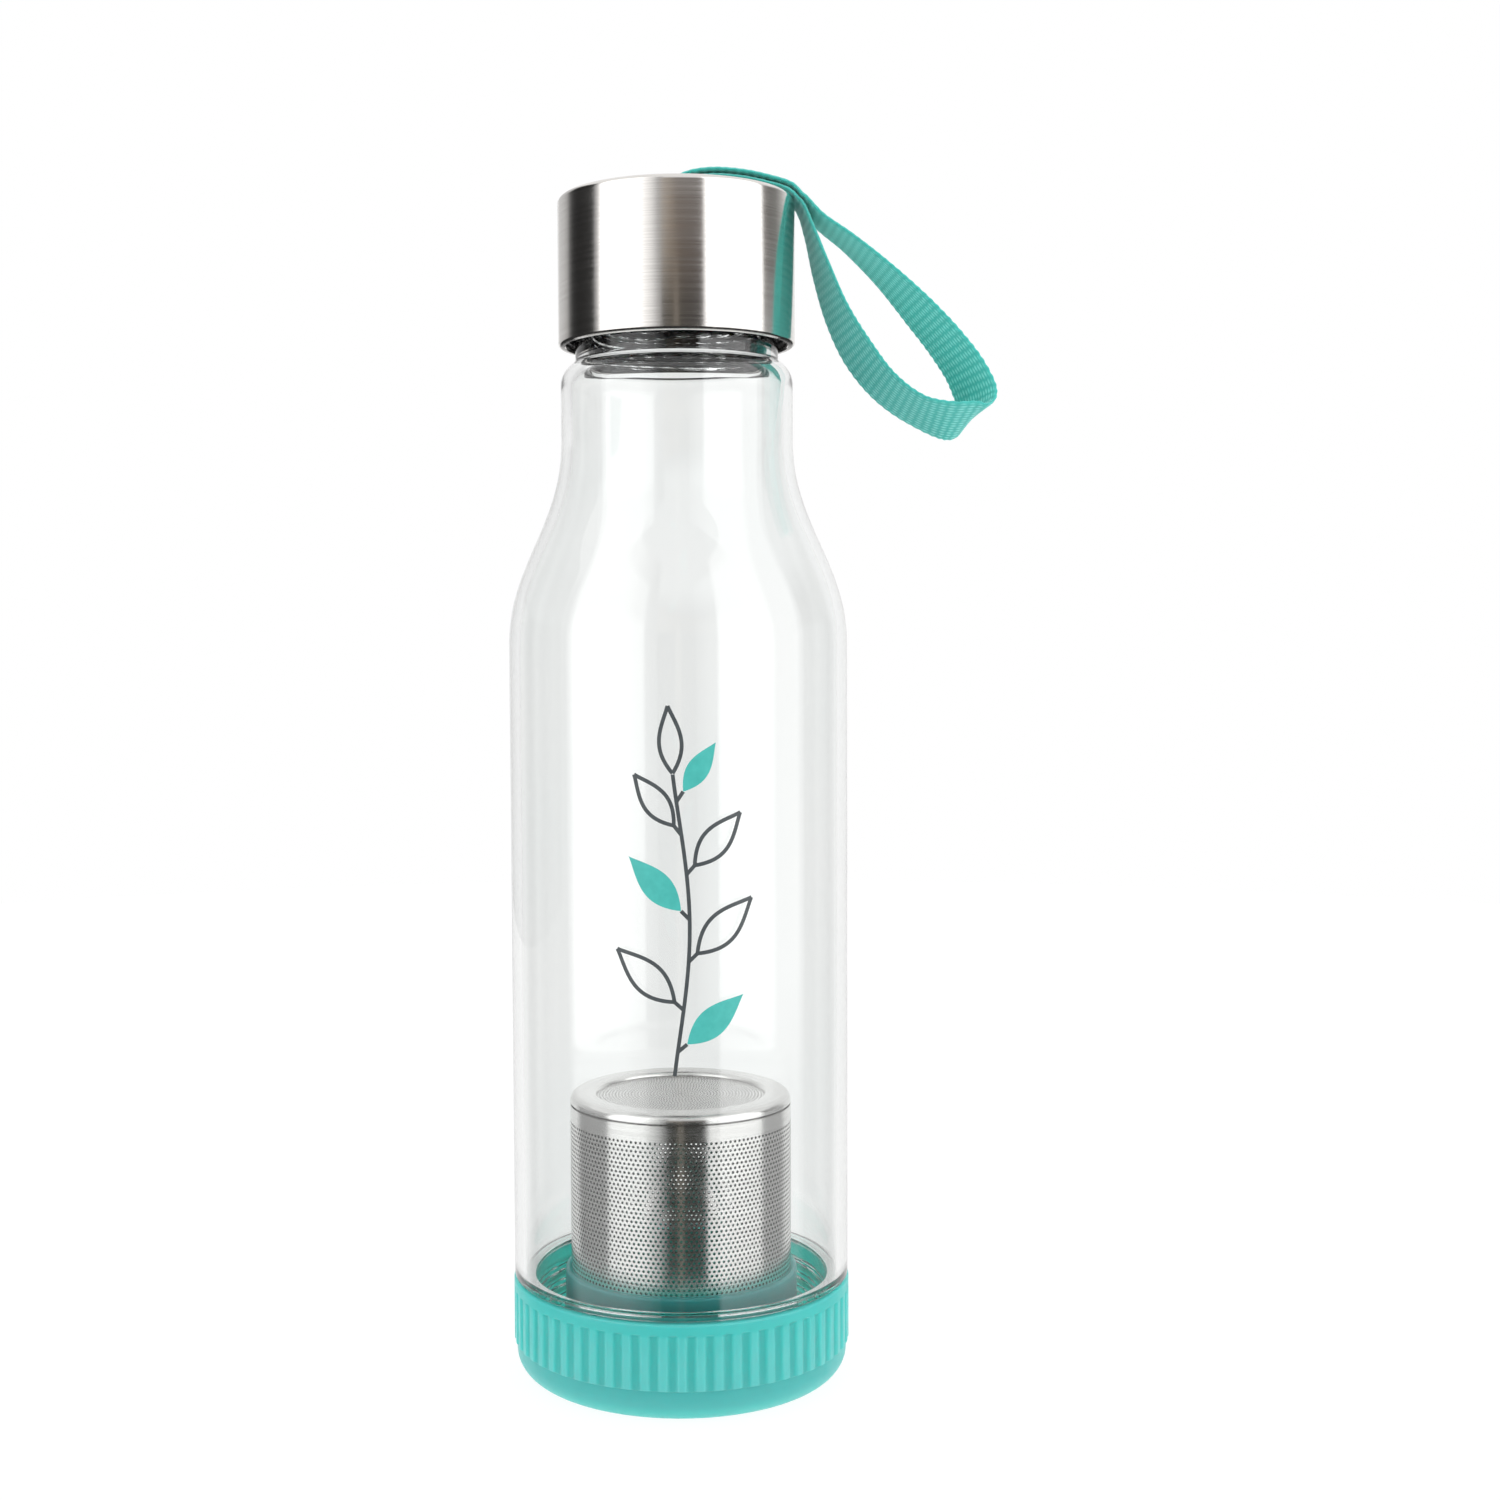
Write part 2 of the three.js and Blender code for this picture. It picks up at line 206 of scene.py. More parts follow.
class Finish:
    def __init__(self, name, **sockets):
        self.material = bpy.data.materials.new(name)
        self.material.use_nodes = True
        self.tree = self.material.node_tree
        self.tree.nodes.clear()
        self.shader = self.add("ShaderNodeBsdfPrincipled")
        output = self.add("ShaderNodeOutputMaterial")
        self.link(self.shader.outputs["BSDF"], output.inputs["Surface"])
        self.coords = self.add("ShaderNodeTexCoord").outputs["Object"]
        for socket, value in sockets.items():
            self.shader.inputs[socket].default_value = value

    def add(self, kind, **settings):
        node = self.tree.nodes.new(kind)
        for key, value in settings.items():
            setattr(node, key, value)
        return node

    def link(self, source, target):
        self.tree.links.new(source, target)

    def painted(self, name):
        return self.add("ShaderNodeAttribute", attribute_name=name).outputs["Fac"]

    def stretched(self, scale, source=None):
        node = self.add("ShaderNodeVectorMath", operation="MULTIPLY")
        self.link(source or self.coords, node.inputs[0])
        node.inputs[1].default_value = scale
        return node.outputs[0]

    # rings about Z: the distance from the axis stands in x, so streaks run round the piece
    def around(self, fine, along):
        length = self.add("ShaderNodeVectorMath", operation="LENGTH")
        self.link(self.stretched((1, 1, 0)), length.inputs[0])
        joined = self.add("ShaderNodeCombineXYZ")
        self.link(length.outputs["Value"], joined.inputs[0])
        self.link(splitXyz(self.tree, self.coords)[2], joined.inputs[2])
        rings = self.stretched((fine, fine, fine), joined.outputs[0])
        drift = self.stretched((along, along, 0))
        total = self.add("ShaderNodeVectorMath", operation="ADD")
        self.link(rings, total.inputs[0])
        self.link(drift, total.inputs[1])
        return total.outputs[0]

    def noise(self, scale, detail, vector=None):
        node = self.add("ShaderNodeTexNoise")
        node.inputs["Scale"].default_value = scale
        node.inputs["Detail"].default_value = detail
        self.link(vector or self.coords, node.inputs["Vector"])
        return node.outputs["Fac"]

    def spread(self, source, low, high, fromLow=0.3, fromHigh=0.7):
        return mapRange(self.tree, source, fromLow, fromHigh, low, high)

    def ramp(self, source, *stops):
        return colourRamp(self.tree, source, stops)

    def colour(self, source):
        self.link(source, self.shader.inputs["Base Color"])

    def mottle(self, source, dark, pale):
        self.colour(self.ramp(source, (0.3, dark), (0.7, pale)))

    def rough(self, source, low, high):
        self.link(self.spread(source, low, high), self.shader.inputs["Roughness"])

    def bump(self, source, strength, depth):
        node = self.add("ShaderNodeBump")
        node.inputs["Strength"].default_value = strength
        node.inputs["Distance"].default_value = depth * mm
        self.link(source, node.inputs["Height"])
        self.link(node.outputs["Normal"], self.shader.inputs["Normal"])


def clearPlastic():
    f = Finish("clear plastic", **{"Transmission Weight": 1.0, "IOR": 1.5, "Roughness": 0.0})
    # painted reflection: the ledge band gets a metal layer so that it mirrors the room, standing in for total
    # reflection inside the clear plastic
    ledgeMirror = f.spread(f.painted("paintedLedgeMirror"), low=0.0, high=0.6, fromLow=0, fromHigh=1)
    f.link(ledgeMirror, f.shader.inputs["Metallic"])
    f.mottle(f.noise(scale=25, detail=2), dark=(0.965, 0.98, 0.975), pale=(0.985, 0.99, 0.985))
    f.bump(f.noise(scale=60, detail=1), strength=0.03, depth=0.3)  # slow waviness of a blown wall
    return f.material


capSteelSet = {"pale": (0.80, 0.775, 0.75), "dark": (0.70, 0.675, 0.65), "fine": 5200, "rough": (0.15, 0.22)}
strainerSteelSet = {
    "pale": (0.74, 0.73, 0.72), "dark": (0.66, 0.65, 0.64), "fine": 4000, "rough": (0.17, 0.25),
    "holeShade": (0.06, 0.06, 0.06, 1),  # painted shade: the walls inside the punched holes are painted near black for the shade that falls in them
}


def brushedSteel(name, s):
    f = Finish(name, **{"Metallic": 1.0, "Anisotropic": 0.65, "Anisotropic Rotation": 0.25})
    streaks = f.noise(scale=1, detail=3, vector=f.around(s["fine"], along=40))
    steel = f.ramp(streaks, (0.32, s["dark"]), (0.68, s["pale"]))
    # painted shade inside the punched holes
    if "holeShade" in s:
        steel = mixColours(f.tree, f.painted("holeWall"), steel, s["holeShade"])
    f.colour(steel)
    coarser = s["fine"] * 0.6
    f.rough(f.noise(scale=1, detail=2, vector=f.around(coarser, along=25)), *s["rough"])
    f.bump(streaks, strength=0.06, depth=0.01)
    tangent = f.add("ShaderNodeTangent", direction_type="RADIAL", axis="Z")
    f.link(tangent.outputs[0], f.shader.inputs["Tangent"])
    return f.material


def turquoisePlastic():
    f = Finish("turquoise plastic", **{"Subsurface Weight": 1.0, "Subsurface Scale": 0.009,
                                       "Subsurface Radius": (0.35, 1.0, 0.9), "IOR": 1.49})
    mottling = 0.25  # the crests of the grip are painted pale as a painted highlight, the rest is slightly mottled
    paleness = f.add("ShaderNodeMath", operation="MULTIPLY_ADD")
    f.link(f.noise(scale=90, detail=3), paleness.inputs[0])
    paleness.inputs[1].default_value = mottling
    f.link(f.painted("paintedCrestLight"), paleness.inputs[2])
    f.colour(f.ramp(paleness.outputs[0], (0.05, (0.070, 0.57, 0.51)),
                    (0.2, (0.078, 0.595, 0.535)), (1.0, (0.125, 0.62, 0.565))))
    f.rough(f.noise(scale=500, detail=4), low=0.34, high=0.46)
    f.bump(f.noise(scale=4200, detail=2), strength=0.10, depth=0.02)  # fine spark-eroded texture of the mould
    return f.material


def webbingYarn():
    f = Finish("strap webbing", **{
        "Subsurface Weight": 0.7, "Subsurface Scale": 0.0012, "Subsurface Radius": (0.6, 1.0, 1.0),
        "Sheen Weight": 0.25, "Sheen Roughness": 0.4, "IOR": 1.5})
    # painted light: yarn crowns are painted pale as highlights, the hollows between yarns dark as shade
    f.colour(f.ramp(f.painted("paintedYarnLight"), (0.0, (0.062, 0.46, 0.41)), (0.45, (0.085, 0.53, 0.48)),
                    (1.0, (0.29, 0.77, 0.72))))
    f.rough(f.noise(scale=2200, detail=3), low=0.5, high=0.7)
    f.bump(f.noise(scale=9000, detail=3), strength=0.25, depth=0.05)  # loose filaments
    return f.material


# mottling, dulling and grain are the scale and detail of a noise; bump is the grain's strength and depth
siliconeSet = {
    "sockets": {"Subsurface Weight": 0.2, "Subsurface Scale": 0.001, "IOR": 1.41},
    "mottling": (220, 2), "dark": (0.78, 0.80, 0.79), "pale": (0.84, 0.86, 0.85),
    "dulling": (900, 3), "rough": (0.48, 0.64), "grain": (2600, 2), "bump": (0.1, 0.02),
}
linerPlasticSet = {
    "sockets": {"IOR": 1.49},
    "mottling": (160, 2), "dark": (0.016, 0.016, 0.017), "pale": (0.024, 0.024, 0.025),
    "dulling": (700, 3), "rough": (0.2, 0.34), "grain": (3200, 2), "bump": (0.06, 0.02),
}
inkSet = {
    "sockets": {"IOR": 1.5},
    "mottling": (700, 3), "dulling": (1500, 3), "rough": (0.32, 0.5),
    "grain": (5000, 2), "bump": (0.08, 0.01),
}
slateSet = {**inkSet, "dark": (0.055, 0.066, 0.072), "pale": (0.075, 0.088, 0.094)}
leafSet = {**inkSet, "dark": (0.055, 0.44, 0.40), "pale": (0.070, 0.50, 0.455)}


def plainMatter(name, s):
    f = Finish(name, **s["sockets"])
    f.mottle(f.noise(*s["mottling"]), s["dark"], s["pale"])
    f.rough(f.noise(*s["dulling"]), *s["rough"])
    f.bump(f.noise(*s["grain"]), *s["bump"])
    return f.material


finishes = {
    "clear": clearPlastic(),
    "capSteel": brushedSteel("brushed cap steel", capSteelSet),
    "strainerSteel": brushedSteel("strainer steel", strainerSteelSet),
    "turquoise": turquoisePlastic(),
    "silicone": plainMatter("seal silicone", siliconeSet),
    "liner": plainMatter("liner plastic", linerPlasticSet),
    "webbing": webbingYarn(),
    "slateInk": plainMatter("slate ink", slateSet),
    "leafInk": plainMatter("leaf ink", leafSet),
}
print("finishes ready:", ", ".join(finishes))


# camera at the photograph's viewing angle

cameraSet = {
    "place": (0, -382.48, 140.75),
    "pitchDeg": 3.01,
    "rollDeg": -0.3,
    "lens": 47.5,
    "sensor": 36,
    "shiftX": 71.3 / 1500,  # as a share of the picture's width
    "clipStart": 0.01,  # metres, the place is in millimetres
}


def placeCamera(s):
    data = bpy.data.cameras.new("photo camera")
    data.sensor_width = s["sensor"]
    data.lens = s["lens"]
    data.shift_x = s["shiftX"]
    data.clip_start = s["clipStart"]
    camera = placed("photo camera", data)
    pitch = Matrix.Rotation(math.radians(90 - s["pitchDeg"]), 4, "X")
    roll = Matrix.Rotation(math.radians(s["rollDeg"]), 4, "Z")
    camera.matrix_world = Matrix.Translation(Vector(s["place"]) * mm) @ (pitch @ roll)
    scene.camera = camera


placeCamera(cameraSet)
print("camera placed")


# carry strap: the same route as the solid, woven in relief

strapSet = {
    "width": 12.0, "thickness": 0.8, "layerGap": 0.4,
    "hinge": 227.7, "rimR": 22.6, "rimZ": 225.6,
    "stackFromHinge": [(0, 0), (2.2, 1.3), (6.4, 2.0)],
    "stackFromRim": [(-10.6, 3.8), (-5.6, 2.8), (-1.0, 1.3), (1.4, -0.9)],
    "loopFromRim": [  # place, then the x and z of the direction across the strap
        (4.9, 0, -4.0, -0.03, -0.03), (10.2, 0.2, -8.0, -0.07, -0.07), (17.3, 0.4, -14.3, -0.16, -0.15),
        (24.1, 0.7, -21.4, -0.27, -0.26), (29.4, 1.1, -27.5, -0.36, -0.28), (33.2, 1.5, -32.9, -0.45, -0.27),
        (35.1, 1.5, -37.9, -0.52, -0.3), (34.0, -0.2, -41.3, -0.52, -0.5), (29.8, -1.9, -42.2, -0.22, -0.5),
        (23.8, -1.7, -40.4, -0.17, -0.34), (17.4, -1.0, -35.8, -0.27, -0.27),
        (12.2, -0.3, -29.2, -0.34, -0.22), (8.2, 0, -21.8, -0.28, -0.14), (5.2, 0, -13.6, -0.18, -0.08),
        (2.8, 0, -5.9, -0.05, -0.02)],
    "rootUpper": [
        (0.0, 220.85), (-1.35, 221.35), (-1.9, 222.7), (-1.35, 224.1), (-0.62, 225.3), (-0.6, 226.3)],
    "endGap": 0.02,  # between the two ends under the pin
    "warpEnds": 16, "columnsPerYarn": 3, "relief": 0.12, "selvage": 0.10,
    "rib": 1.6,  # spacing of the crosswise ribs
    "ribShift": 0.1,  # of every other yarn, as a share of that spacing
    "ribPower": 0.6, "ribFloor": 0.4, "crownFloor": 0.2,
    "edgeFrom": 0.44,  # where the edge begins, as a share of the width from the middle
    "edgeThickness": 0.35, "edgeShade": 0.4,
    "step": 0.2, "samples": 6000,
}


# a smooth curve through points, spaced by the root of their distances
def curvePoint(points, t):
    last = len(points) - 1
    place = min(max(t, 0.0), 1.0) * last
    i = min(int(place), last - 1)
    w = place - i
    p1, p2 = points[i], points[i + 1]
    p0 = points[i - 1] if i > 0 else p1 * 2 - p2
    p3 = points[i + 2] if i + 2 <= last else p2 * 2 - p1
    d0, d1, d2 = ((a - b).length ** 0.5 for a, b in ((p0, p1), (p1, p2), (p2, p3)))
    least = 1e-4
    d1 = d1 if d1 > least else 1.0
    d0 = d0 if d0 > least else d1
    d2 = d2 if d2 > least else d1
    t1 = ((p1 - p0) / d0 - (p2 - p0) / (d0 + d1) + (p2 - p1) / d1) * d1
    t2 = ((p2 - p1) / d1 - (p3 - p1) / (d1 + d2) + (p3 - p2) / d2) * d1
    return p1 + t1 * w + (p2 * 3 - p1 * 3 - t1 * 2 - t2) * w * w + (p1 * 2 - p2 * 2 + t1 + t2) * w ** 3


def curveAlong(points, t, nudge=1e-4):
    return (curvePoint(points, t + nudge) - curvePoint(points, t - nudge)).normalized()


# points of the whole route and the direction across the strap at each
def strapRoute(s):
    stack = [Vector((x, 0, s["hinge"] + z)) for x, z in s["stackFromHinge"]]
    stack += [Vector((s["rimR"] + x, 0, s["rimZ"] + z)) for x, z in s["stackFromRim"]]
    offset = (s["thickness"] + s["layerGap"]) / 2
    upper, lower = [], []
    for i, place in enumerate(stack):
        along = curveAlong(stack, i / (len(stack) - 1))
        across = Vector((-along.z, 0, along.x)) * offset
        upper.append(place + across)
        lower.insert(0, place - across)
    loop = [Vector((s["rimR"] + x, y, s["rimZ"] + z)) for x, y, z, _, _ in s["loopFromRim"]]
    leans = [Vector((x, math.sqrt(1 - x * x - z * z), z)) for _, _, _, x, z in s["loopFromRim"]]
    level = Vector((0, 1, 0))
    root = [Vector((x, 0, z)) for x, z in s["rootUpper"]]
    back = [Vector((-x, 0, z)) for x, z in reversed(s["rootUpper"])]
    back[-1].x = s["endGap"]
    flat = [level] * (len(root) + len(stack))
    return root + upper + loop + lower + back, flat + leans + flat


# evenly spaced stations along the route: run, place, across, out
def strapStations(s):
    path, widths = strapRoute(s)
    fine = s["samples"]
    places = [curvePoint(path, i / fine) for i in range(fine + 1)]
    run = [0.0]
    for a, b in zip(places, places[1:]):
        run.append(run[-1] + (b - a).length)
    count = int(run[-1] / s["step"])
    stations, k = [], 0
    for i in range(count + 1):
        want = run[-1] * i / count
        while k < fine - 1 and run[k + 1] < want:
            k += 1
        t = (k + (want - run[k]) / max(1e-9, run[k + 1] - run[k])) / fine
        along = curveAlong(path, t)
        across = curvePoint(widths, t)
        across = (across - along * across.dot(along)).normalized()
        stations.append((want, curvePoint(path, t), across, along.cross(across)))
    return stations


# ribbed weave: crosswise ribs, each crossed by the rounded backs of the lengthwise yarns
def yarnRelief(s, side, run):
    yarn = (side + 0.5) * s["warpEnds"]
    crown = abs(math.cos(math.pi * (yarn - math.floor(yarn) - 0.5)))
    wave = math.cos(tau * (run / s["rib"] + s["ribShift"] * (math.floor(yarn) % 2)))
    rib = (0.5 + 0.5 * wave) ** s["ribPower"]
    ribFloor, crownFloor = s["ribFloor"], s["crownFloor"]
    return (ribFloor + (1 - ribFloor) * rib) * (crownFloor + (1 - crownFloor) * crown)


def makeStrap(s):
    stations = strapStations(s)
    columns = s["warpEnds"] * s["columnsPerYarn"]
    verts, faces, yarn = [], [], []
    half = s["thickness"] / 2 - s["relief"]
    thin, shade = s["edgeThickness"], s["edgeShade"]
    for run, place, across, out in stations:
        picot = s["selvage"] * math.cos(tau * run / s["rib"])  # the crosswise yarn turns back at the edge
        for face in (1, -1):
            for j in range(columns + 1):
                side = (j / columns - 0.5) * face
                edge = 1 - smoothStep(s["edgeFrom"], 0.5, abs(side))
                relief = yarnRelief(s, side, run + (s["rib"] / 2 if face < 0 else 0))
                height = half * (thin + (1 - thin) * edge ** 0.5) + s["relief"] * relief * edge
                reach = side * (s["width"] - 2 * s["selvage"] + 2 * picot * (1 - edge))
                verts.append(tuple(place + across * reach + out * (face * height)))
                # the relief also sets the painted yarn light and shade, darker towards the edges
                yarn.append(relief * (shade + (1 - shade) * edge))
    row = 2 * (columns + 1)
    rows = [range(start, start + row) for start in range(0, len(verts), row)]
    for a, b in zip(rows, rows[1:]):
        faces += bandFaces(b, a)
    faces.append(tuple(range(row)))
    faces.append(tuple(reversed(range(len(verts) - row, len(verts)))))
    piece = meshObject("strap_band", verts, faces, finishes["webbing"], sharpDeg=60)
    paint(piece, "paintedYarnLight", yarn)
    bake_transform(piece)
    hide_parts("carry_strap", "strap_root")


makeStrap(strapSet)


# clear body with both necks and their threads

threadForm = {
    "lead": 6.0, "starts": 2, "phase": 0.0, "crest": 0.7, "flank": 0.45, "height": 0.72, "fade": 1.2,
}
neckThread = {**threadForm, "low": 198.6, "high": 207.6}
baseThread = {**threadForm, "low": 6.6, "high": 16.4}
bottleSet = {
    "bodyR": 32.5, "bodyWall": 2.0, "foot": 19.1, "footRound": 0.45, "midBody": 80.0,
    "shoulderLow": 141.0, "shoulderHigh": 179.5, "shoulderPull": 15.5,
    "collarR": 22.2, "crownZ": 190.3, "crownR": 5.0,
    "crownInside": (5.2, 2.7, 3.0, -0.8),  # heights over crownZ of the curve inside the crown
    "neckR": 19.4, "neckInner": 17.2, "rim": 209.2, "rimRound": 0.7,
    "lowerNeckR": 29.9, "lowerNeckInner": 28.4, "lowerNeckEnd": 5.2, "endRound": 0.5, "rootFillet": 0.6,
    "ledge": 20.1, "ledgeFillet": 0.7, "ledgeRound": 0.5, "belowLedge": (1.0, 3.0),
    "shineIn": (-1.6, -0.6), "shineOut": (0.2, 0.7),  # heights over the ledge where the painted mirror band fades in and out
    "shineInset": 0.05,
    "steps": 256,
}


def makeBottle(s):
    innerR = s["bodyR"] - s["bodyWall"]
    collarInner = s["collarR"] - s["bodyWall"]
    low, high, pull = s["shoulderLow"], s["shoulderHigh"], s["shoulderPull"]

    def shoulder(wide, narrow):
        return bezierRows((wide, low), (wide, low + pull), (narrow, high - pull), (narrow, high), 40)

    crownCentre = s["collarR"] - s["crownR"]
    crownTurn = math.degrees(math.acos((s["neckR"] - crownCentre) / s["crownR"]))
    crownRadii = (s["neckInner"], s["neckInner"], collarInner, collarInner)
    crownInside = [(r, s["crownZ"] + rise) for r, rise in zip(crownRadii, s["crownInside"])]
    end, endR = s["lowerNeckEnd"], s["endRound"]
    rim, rimR = s["rim"], s["rimRound"]
    root, foot, footR = s["rootFillet"], s["foot"], s["footRound"]
    ledge, ledgeR, fillet = s["ledge"], s["ledgeRound"], s["ledgeFillet"]
    lowerR, lowerInner = s["lowerNeckR"], s["lowerNeckInner"]
    profile = [
        *arcRows(lowerInner + endR, end + endR, endR, 180, 270, 5),
        *arcRows(lowerR - endR, end + endR, endR, 270, 360, 5),
        *lineRows((lowerR, baseThread["low"]), (lowerR, baseThread["high"]), 44),
        (lowerR, foot - root),
        *arcRows(lowerR + root, foot - root, root, 180, 90, 5),
        *arcRows(s["bodyR"] - footR, foot + footR, footR, -90, 0, 7),
        (s["bodyR"], s["midBody"]),
        *shoulder(s["bodyR"], s["collarR"]),
        *arcRows(crownCentre, s["crownZ"], s["crownR"], 0, crownTurn, 14),
        *lineRows((s["neckR"], neckThread["low"]), (s["neckR"], neckThread["high"]), 40),
        *arcRows(s["neckR"] - rimR, rim - rimR, rimR, 0, 90, 6),
        *arcRows(s["neckInner"] + rimR, rim - rimR, rimR, 90, 180, 6),
        *bezierRows(*crownInside, 18),
        *reversed(shoulder(innerR, collarInner)),
        (innerR, s["midBody"]),
        *arcRows(innerR - fillet, ledge + fillet, fillet, 0, -90, 7),
        *arcRows(lowerInner + ledgeR, ledge - ledgeR, ledgeR, 90, 180, 7),
        *lineRows(*((lowerInner, ledge - below) for below in s["belowLedge"]), 4),
    ]

    def threads(angle, r, z):
        for neckR, thread in ((lowerR, baseThread), (s["neckR"], neckThread)):
            if abs(r - neckR) < tiny:
                return r + ridgeHeight(thread, angle, z)
        return r

    piece = turned("clear_bottle", profile, s["steps"], finishes["clear"], threads)
    ledgeMirror = []  # painted reflection: a metal layer makes the ledge mirror its surroundings from inside, in place of the total reflection in the clear plastic
    for vertex in piece.data.vertices:
        above = vertex.co.z / mm - ledge
        inside = vertex.co.xy.length / mm < innerR - s["shineInset"]
        band = smoothStep(*s["shineIn"], above) * (1 - smoothStep(*s["shineOut"], above))
        ledgeMirror.append(band if inside else 0.0)
    paint(piece, "paintedLedgeMirror", ledgeMirror)
    onBody(piece, "bottle", "bottle_body")


makeBottle(bottleSet)
print("bottle turned")


# screw base: ribbed grip outside, thread and strainer seat inside

baseSet = {
    "outerR": 32.65, "innerR": 31.0, "height": 18.8, "floor": 2.8, "floorFillet": 0.8,
    "corner": 4.6, "lip": 0.5, "innerLip": 0.3, "footWidth": 4.2,
    "recess": 0.8, "recessRow": 0.4, "recessPull": (0.3, 0.5),
    "seatInner": 21.8, "seatOuter": 22.6, "seatTop": 20.4,
    "seatRound": 0.5, "seatEdge": 0.2, "seatRoot": 0.6,
    "ribs": 60, "grooveWidth": 1.5, "grooveDepth": 0.4, "footInset": 0.1,
    "gripLow": 6.4, "gripHigh": 16.6, "edge": 0.2,
    "crestDepth": 0.2, "crestFade": (-1.0, 0.2),  # heights over gripHigh where the painted crest highlight fades
    "columns": 600,
}


def makeBase(s):
    outer, groove, recess = s["outerR"], s["grooveDepth"], s["recess"]
    footOuter = outer - groove - s["footInset"] - s["corner"]
    footInner = footOuter - s["footWidth"]
    bandR = footOuter + s["corner"]
    low, high, edge = s["gripLow"], s["gripHigh"], s["edge"]
    wall, height, lip, innerLip = s["innerR"], s["height"], s["lip"], s["innerLip"]
    floor, fillet, root = s["floor"], s["floorFillet"], s["seatRoot"]
    top, topR, topEdge = s["seatTop"], s["seatRound"], s["seatEdge"]
    pullUp, pullDown = s["recessPull"]
    thread = {**baseThread, "phase": 0.5}
    profile = [
        (0, recess),
        (footInner - recess - s["recessRow"], recess),
        *bezierRows((footInner - recess, recess), (footInner - pullUp, recess),
                    (footInner - pullDown, 0.0), (footInner, 0.0), 6),
        *arcRows(footOuter, s["corner"], s["corner"], -90, 0, 14),
        (bandR, low - edge),
        *bezierRows((bandR, low - edge / 2), (bandR, low), (outer, low), (outer, low + edge), 6),
        (outer, (low + high) / 2),
        *lineRows((outer, high - 2 * edge), (outer, high + 2 * edge), 8),
        *arcRows(outer - lip, height - lip, lip, 0, 90, 6),
        *arcRows(wall + innerLip, height - innerLip, innerLip, 90, 180, 4),
        *lineRows((wall, thread["high"]), (wall, thread["low"]), 44),
        *arcRows(wall - fillet, floor + fillet, fillet, 0, -90, 5),
        *arcRows(s["seatOuter"] + root, floor + root, root, 270, 180, 4),
        *arcRows(s["seatOuter"] - topR, top - topR, topR, 0, 90, 6),
        *arcRows(s["seatInner"] + topEdge, top - topEdge, topEdge, 90, 180, 4),
        (s["seatInner"], floor),
        (0, floor),
    ]
    step = tau / s["ribs"]
    halfGroove = s["grooveWidth"] / 2

    def fromGroove(angle):
        return abs((angle / step) % 1 - 0.5) * step * outer

    def grip(angle, r, z):
        if abs(r - wall) < tiny:
            return r - ridgeHeight(thread, angle, z)
        if r < bandR - tiny or not low - edge < z < high + 2 * edge:
            return r
        cut = 1 - smoothStep(halfGroove - edge, halfGroove + edge, fromGroove(angle))
        cut *= 1 - smoothStep(high - edge, high + edge, z)
        return min(r, outer - groove * cut)

    piece = turned("screw_base", profile, s["columns"], finishes["turquoise"], grip, sharpDeg=50)
    fadeFrom, fadeTo = (high + rise for rise in s["crestFade"])
    # painted highlight: the outermost crests of the grip get a paler colour where light would catch them
    crestLight = []
    for vertex in piece.data.vertices:
        radius, z = vertex.co.xy.length / mm, vertex.co.z / mm
        away = fromGroove(math.atan2(vertex.co.y, vertex.co.x))
        onRib = smoothStep(halfGroove, halfGroove + 2 * edge, away)
        inGrip = smoothStep(low, low + 2 * edge, z) * (1 - smoothStep(fadeFrom, fadeTo, z))
        crestLight.append(onRib * inGrip if radius > outer - s["crestDepth"] else 0.0)
    paint(piece, "paintedCrestLight", crestLight)
    onBody(piece, "base", "base_cap")


makeBase(baseSet)
print("base turned")


# seals, cap liner and pin

sealSet = {
    "base": {"inner": 27.8, "outer": 30.7, "low": 3.1, "high": 4.9},
    "cap": {"inner": 16.4, "outer": 20.2, "low": 209.5, "high": 211.2},
    "round": 0.5,
    "steps": 160,
}


def sealRing(name, ring, r, steps):
    profile = [
        *arcRows(ring["inner"] + r, ring["low"] + r, r, 180, 270, 5),
        *arcRows(ring["outer"] - r, ring["low"] + r, r, 270, 360, 5),
        *arcRows(ring["outer"] - r, ring["high"] - r, r, 0, 90, 5),
        *arcRows(ring["inner"] + r, ring["high"] - r, r, 90, 180, 5),
    ]
    return turned(name, profile, steps, finishes["silicone"])


def makeSeals(s):
    lower = sealRing("base_seal_ring", s["base"], s["round"], s["steps"])
    onBody(lower, "base_seal", "base_gasket")
    upper = sealRing("cap_seal_ring", s["cap"], s["round"], s["steps"])
    onBody(upper, "cap_seal", "cap_gasket")


makeSeals(sealSet)

linerSet = {
    "innerR": 20.5, "outerR": 21.7, "low": 198.7, "discLow": 211.5, "top": 213.5, "round": 0.4,
    "discEdge": (0.8, 0.02),  # width and fall of the disc's outermost band
    "thread": {**neckThread, "phase": 0.5, "low": 199.4, "high": 208.6},
    "steps": 192,
}


def makeLiner(s):
    r, inner, outer, thread = s["round"], s["innerR"], s["outerR"], s["thread"]
    edgeWidth, edgeFall = s["discEdge"]
    profile = [
        *arcRows(inner + r, s["low"] + r, r, 180, 270, 4),
        *arcRows(outer - r, s["low"] + r, r, 270, 360, 4),
        *arcRows(outer - r, s["top"] - r, r, 0, 90, 4),
        (0, s["top"]),
        (0, s["discLow"]),
        (inner - edgeWidth, s["discLow"]),
        (inner, s["discLow"] - edgeFall),
        *lineRows((inner, thread["high"]), (inner, thread["low"]), 36),
    ]

    def threads(angle, radius, z):
        return radius - ridgeHeight(thread, angle, z) if abs(radius - inner) < tiny else radius

    piece = turned("cap_insert", profile, s["steps"], finishes["liner"], threads)
    onBody(piece, "cap", "cap_liner")


makeLiner(linerSet)

pinSet = {"radius": 1.2, "length": 18.0, "height": 222.7, "chamfer": 0.25, "steps": 40}


